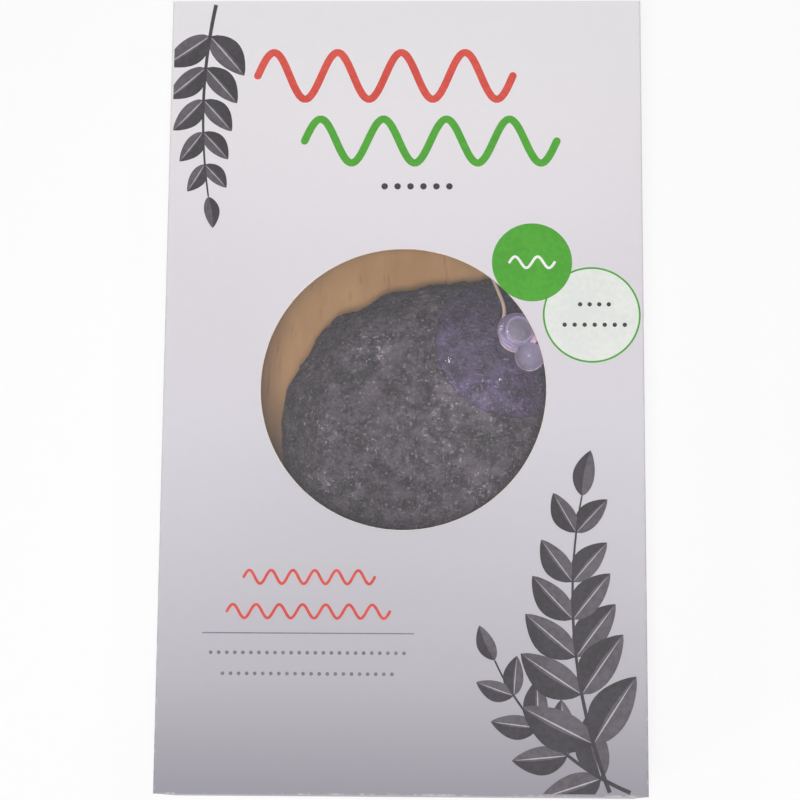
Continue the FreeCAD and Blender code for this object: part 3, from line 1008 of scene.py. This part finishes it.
# Printed ornaments on the front: waves, dots, a disc, a badge and leafy corners, as thin ink layers
inkSet = {
    "layer": 0.006 * mm,
    "step": 0.010 * mm,     # from one layer up to the next
    "capSteps": 6,
    "waveSteps": 30,
    "dotSteps": 20,
    "discSteps": 128,
    "waves": [      # ink, layer, left, right, middle, swing, length of one wave, stroke, in mm
        ("red", 0, -34.0, 24.6, 72.5, 5.6, 14.65, 1.75),
        ("green", 0, -23.0, 34.6, 57.0, 5.2, 14.4, 1.75),
        ("red", 0, -35.0, -6.0, -43.0, 1.5, 4.83, 0.62),
        ("red", 0, -38.6, -2.6, -50.6, 1.5, 5.14, 0.62),
        ("white", 3, 23.8, 34.0, 28.6, 1.3, 5.1, 0.6),
    ],
    "rule": ("grey", 0, -44.0, 2.8, -55.4, 0.26),
    "dots": [       # ink, layer, left, count, middle, radius, step
        ("black", 0, -4.6, 6, 46.3, 0.75, 2.95),
        ("grey", 0, -42.0, 25, -59.7, 0.42, 1.775),
        ("grey", 0, -39.3, 22, -64.3, 0.42, 1.775),
        ("black", 2, 39.7, 4, 18.9, 0.5, 2.15),
        ("black", 2, 36.2, 7, 14.2, 0.5, 2.25),
    ],
    "disc": ("green", 2, 28.9, 28.6, 9.05),
    "badge": ("pale", 0, 42.3, 16.5, 10.8),
    "badgeRing": ("green", 1, 42.3, 16.5, 11.0, 0.42),
}


def keepInk(bm, name, finishes, layer=0):
    thicken(bm, (0, 0, inkSet["layer"]))
    bmesh.ops.translate(bm, vec=(0, 0, depth + (layer + 0.5) * inkSet["step"]), verts=bm.verts[:])
    keepPiece(bm, name, finishes, "carton")


def drawWave(left, right, middle, swing, wave, stroke):
    def onWave(x):
        turn = 2 * math.pi * (x - left) / wave
        slope = swing * 2 * math.pi / wave * math.cos(turn)
        return Vector((x, middle + swing * math.sin(turn))), Vector((1, slope)).normalized()

    caps = inkSet["capSteps"]
    columns = int((right - left) / wave * inkSet["waveSteps"]) + 2 * caps
    bm = bmesh.new()
    bmesh.ops.create_grid(bm, x_segments=columns, y_segments=1, size=1.0)
    for vert in bm.verts:
        column = round((vert.co.x + 1) / 2 * columns)
        beyond = max(caps - column, column - columns + caps, 0) / caps * math.pi / 2    # into a round end
        share = min(1, max(0, (column - caps) / (columns - 2 * caps)))
        point, ahead = onWave(left + (right - left) * share)
        outward = 1 if share > 0.5 else -1
        hand = 1 if vert.co.y > 0 else -1
        point += ahead * (outward * stroke / 2 * math.sin(beyond))
        point += Vector((-ahead.y, ahead.x)) * (hand * stroke / 2 * math.cos(beyond))
        vert.co = (point.x * mm, point.y * mm, 0)
    bmesh.ops.remove_doubles(bm, verts=bm.verts[:], dist=1e-8)
    return bm


def drawDiscs(places, radius, segments):
    bm = bmesh.new()
    for x, y in places:
        bmesh.ops.create_circle(bm, cap_ends=True, segments=segments, radius=radius * mm,
                                matrix=Matrix.Translation((x * mm, y * mm, 0)))
    return bm


def printOrnaments(spec):
    for i, (ink, layer, *wave) in enumerate(spec["waves"]):
        keepInk(drawWave(*wave), "print_wave_%d" % (i + 1), [inks[ink]], layer)
    for i, (ink, layer, left, count, middle, radius, step) in enumerate(spec["dots"]):
        row = drawDiscs([(left + k * step, middle) for k in range(count)], radius, spec["dotSteps"])
        keepInk(row, "print_dots_%d" % (i + 1), [inks[ink]], layer)
    for name in ("disc", "badge"):
        ink, layer, x, y, radius = spec[name]
        keepInk(drawDiscs([(x, y)], radius, spec["discSteps"]), "print_" + name, [inks[ink]], layer)
    ink, layer, x, y, radius, stroke = spec["badgeRing"]
    bm = drawDiscs([(x, y)], radius, spec["discSteps"])
    bmesh.ops.inset_region(bm, faces=bm.faces[:], thickness=stroke * mm, use_boundary=True)
    inner = max(bm.faces, key=lambda f: len(f.verts))
    bmesh.ops.delete(bm, geom=[inner], context="FACES_ONLY")
    keepInk(bm, "print_badge_ring", [inks[ink]], layer)
    ink, layer, left, right, middle, stroke = spec["rule"]
    bm = bmesh.new()
    bmesh.ops.create_grid(bm, x_segments=1, y_segments=1, size=0.5)
    bmesh.ops.scale(bm, vec=((right - left) * mm, stroke * mm, 1), verts=bm.verts[:])
    bmesh.ops.translate(bm, vec=((left + right) / 2 * mm, middle * mm, 0), verts=bm.verts[:])
    keepInk(bm, "print_rule", [inks[ink]], layer)


printOrnaments(inkSet)


# Leafy twigs in two corners, each a bent stem with pairs of oval leaves
twigSet = {
    "twigs": [      # name, layer, foot, heading, length, bend, pairs, leaf length and width, in mm and degrees
        ("low_wide", 0, (50.0, -89.6), 158, 42, -44, 4, 14.0, 7.2),
        ("low_tall", 5, (45.5, -89.6), 111, 66, -32, 6, 17.5, 8.8),
        ("high", 0, (-44.0, 89.6), -101, 46, 20, 5, 12.5, 6.4),
    ],
    "stem": 0.9,
    "stemTaper": 0.6,
    "stemSteps": 24,
    "firstLeaf": 0.18,      # share of the stem that is bare below the leaves
    "shrink": 0.5,          # how much smaller the leaves get towards the tip
    "spread": (48, 14),     # degrees between leaf and stem at the foot, and how far that closes
    "tipLeaf": (0.6, 0.55),     # share of a leaf's length and width
    "rib": (0.94, 0.34),    # share of the leaf's length, and width in mm
    "ribLift": 0.7,         # in steps of the ink layers
    "leafSteps": 14,
    "leafCurl": 0.10,
    "edge": (53.4, 90.0),
}


def twigPoint(foot, heading, length, bend, share):
    steps = twigSet["stemSteps"]
    x, y = foot
    for i in range(round(steps * share)):
        turn = math.radians(heading + bend * (i + 0.5) / steps)
        x += length / steps * math.cos(turn)
        y += length / steps * math.sin(turn)
    return x, y, heading + bend * share


def drawLeaf(bm, foot, heading, length, width, level):
    made = bmesh.ops.create_grid(bm, x_segments=twigSet["leafSteps"], y_segments=6, size=1.0)
    turn = math.radians(heading)
    for face in {f for v in made["verts"] for f in v.link_faces}:       # a dark half and a lighter half
        face.material_index = 0 if face.calc_center_median().y > 0 else 1
    for vert in made["verts"]:
        along = (vert.co.x + 1) / 2
        half = width / 2 * math.sin(math.pi * along ** 0.85) ** 0.8
        away = vert.co.y * half + math.sin(along * math.pi) * width * twigSet["leafCurl"]
        x = foot[0] + math.cos(turn) * along * length - math.sin(turn) * away
        y = foot[1] + math.sin(turn) * along * length + math.cos(turn) * away
        vert.co = Vector((x * mm, y * mm, level * inkSet["step"]))


def trimToPanel(bm):
    limitX, limitY = twigSet["edge"]
    for axis, sign, limit in ((0, 1, limitX), (0, -1, limitX), (1, 1, limitY), (1, -1, limitY)):
        normal = Vector((0, 0, 0))
        normal[axis] = sign
        bmesh.ops.bisect_plane(bm, geom=bm.verts[:] + bm.edges[:] + bm.faces[:], plane_co=normal * limit * mm,
                               plane_no=normal, clear_outer=True)


def printTwig(name, layer, foot, heading, length, bend, pairs, leafLength, leafWidth):
    leaves, ribs = bmesh.new(), bmesh.new()
    first, (spread, closing) = twigSet["firstLeaf"], twigSet["spread"]
    (ribLength, ribWidth), ribLift = twigSet["rib"], twigSet["ribLift"]
    for k in range(pairs):
        x, y, ahead = twigPoint(foot, heading, length, bend, first + (1 - first) * k / pairs)
        size = 1.0 - twigSet["shrink"] * k / pairs
        for hand in (-1, 1):
            turn = ahead + hand * (spread - closing * k / pairs)
            level = (2 * k + (hand > 0)) % 4
            drawLeaf(leaves, (x, y), turn, leafLength * size, leafWidth * size, level)
            drawLeaf(ribs, (x, y), turn, leafLength * size * ribLength, ribWidth * size, level + ribLift)
    x, y, ahead = twigPoint(foot, heading, length, bend, 1.0)
    tipLength, tipWidth = twigSet["tipLeaf"]
    drawLeaf(leaves, (x, y), ahead, leafLength * tipLength, leafWidth * tipWidth, 1)
    for bm in (leaves, ribs):
        bmesh.ops.remove_doubles(bm, verts=bm.verts[:], dist=1e-8)
        trimToPanel(bm)
    keepInk(leaves, "print_leaves_" + name, [inks["leafDark"], inks["leafMid"]], layer)
    keepInk(ribs, "print_ribs_" + name, [inks["leafPale"], inks["leafPale"]], layer)
    stem = bmesh.new()
    bmesh.ops.create_grid(stem, x_segments=twigSet["stemSteps"], y_segments=1, size=1.0)
    for vert in stem.verts:
        share = (vert.co.x + 1) / 2
        x, y, ahead = twigPoint(foot, heading, length, bend, share)
        turn = math.radians(ahead)
        half = twigSet["stem"] / 2 * (1 - twigSet["stemTaper"] * share) * (1 if vert.co.y > 0 else -1)
        vert.co = ((x - math.sin(turn) * half) * mm, (y + math.cos(turn) * half) * mm, 0)
    trimToPanel(stem)
    keepInk(stem, "print_stem_" + name, [inks["leafDark"]], layer + 4)


for twig in twigSet["twigs"]:
    printTwig(*twig)
print("printed ornaments made")


# Floor, lamps and world
stageSet = {
    "floor": (0.95, 0.95, 0.95, 1.0),
    "floorHalf": 4.0,
    "floorDrop": 0.1 * mm,
    "floorGlow": 0.77,      # share of plain white that the camera sees on the floor
    "world": 0.20,
    "aim": (0.0, 0.0, 0.03),
    "lamps": [      # name, place, size, watts, seen in reflections
        ("keyLamp", (0.0, -0.22, 0.85), 0.16, 4.65, False),
        ("topLamp", (0.25, 0.50, 1.00), 0.90, 1.0, False),
        ("leftSpark", (-0.393, 0.263, 0.673), 0.05, 0.30, True),
        ("rightSpark", (0.242, 0.013, 0.801), 0.04, 0.25, True),
        ("lowSpark", (-0.55, -0.47, 0.53), 0.07, 0.65, True),
    ],
}


def seenRays(wire):     # rays from the camera, a reflection or a clear piece
    path = wire.node("LightPath")
    return path.maths("MAXIMUM", path.output(3)).maths("MAXIMUM", path.output(6))


def setFloor(spec):
    bm = bmesh.new()
    bmesh.ops.create_grid(bm, x_segments=1, y_segments=1, size=spec["floorHalf"])
    bmesh.ops.translate(bm, vec=(0, 0, -spec["floorDrop"]), verts=bm.verts[:])
    mesh = bpy.data.meshes.new("floor")
    bm.to_mesh(mesh)
    bm.free()
    material, place = startFinish("paleFloor")
    dress(material, {"Base Color": spec["floor"], "Roughness": 0.9, "Specular IOR Level": 0.1})
    glow = place.node("Emission", None, {"Color": (1, 1, 1, 1), "Strength": 1.0})
    mixSurface(seenRays(place) * spec["floorGlow"], surfaceOf(material), glow)
    mesh.materials.append(material)
    floor = bpy.data.objects.new("floor", mesh)
    scene.collection.objects.link(floor)


def setWorld(spec):
    scene.world = bpy.data.worlds.new("studio")
    scene.world.use_nodes = True
    wire = Wire(scene.world.node_tree)
    lit = wire.node("Background", None, {"Color": (1, 1, 1, 1), "Strength": spec["world"]})
    plain = wire.node("Background", None, {"Color": (1, 1, 1, 1), "Strength": 1.0})
    mixSurface(seenRays(wire), lit, plain, "World Output")


def setLamps(spec):
    for name, place, size, watts, mirrored in spec["lamps"]:
        data = bpy.data.lights.new(name, "AREA")
        data.shape = "SQUARE"
        data.size = size
        data.energy = watts
        lamp = bpy.data.objects.new(name, data)
        away = Vector(place) - Vector(spec["aim"])
        lamp.matrix_world = Matrix.Translation(place) @ away.to_track_quat("Z", "Y").to_matrix().to_4x4()
        lamp.visible_glossy = mirrored
        scene.collection.objects.link(lamp)


setFloor(stageSet)
setWorld(stageSet)
setLamps(stageSet)
print("floor, world and lamps set")
